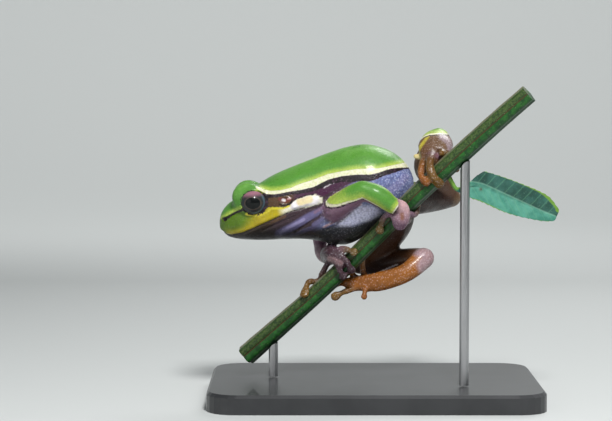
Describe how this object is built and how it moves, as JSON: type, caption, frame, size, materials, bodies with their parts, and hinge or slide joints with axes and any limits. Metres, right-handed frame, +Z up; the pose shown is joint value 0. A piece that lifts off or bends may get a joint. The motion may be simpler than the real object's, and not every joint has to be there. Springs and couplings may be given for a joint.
{
  "type": "european tree frog",
  "caption": "Life-size still model of a European tree frog gripping a slanting cut stem with a leaf, on a flat base with two rods.",
  "frame": {"origin": "centre of the flat underside of the display base", "axes": "+Z up; +X towards the frog's tail end and the stem's upper end; -Y is the frog's left side, the side that the viewer sees"},
  "size_m": [0.0736, 0.046, 0.0664],
  "materials": {
    "frog_green": "moist skin, leaf green above, cream and dark side stripe, lilac belly",
    "frog_orange": "moist skin, orange brown",
    "frog_hand": "moist skin, pinkish brown",
    "frog_eye": "wet gloss, dark bronze iris with a black oval pupil",
    "stem_green": "ribbed plant stem",
    "leaf_green": "soft leaf with a midrib",
    "stand_plate": "satin dark grey paint",
    "stand_rod": "fine brushed"
  },
  "bodies": {
    "root": {"head": "frog_green", "torso": "frog_green", "upper_arm_left": "frog_green", "forearm_left": "frog_green", "upper_arm_right": "frog_green", "forearm_right": "frog_green", "thigh_left": "frog_orange", "shank_left": "frog_orange", "foot_left": "frog_orange", "thigh_right": "frog_orange", "shank_right": "frog_orange", "foot_right": "frog_orange", "hand_left": "frog_hand", "hand_right": "frog_hand", "eye_left": "frog_eye", "eye_right": "frog_eye", "stand_perch": "stem_green", "stand_leaf": "leaf_green", "stand_base": "stand_plate", "stand_rod_low": "stand_rod", "stand_rod_high": "stand_rod"}
  },
  "joints": []
}
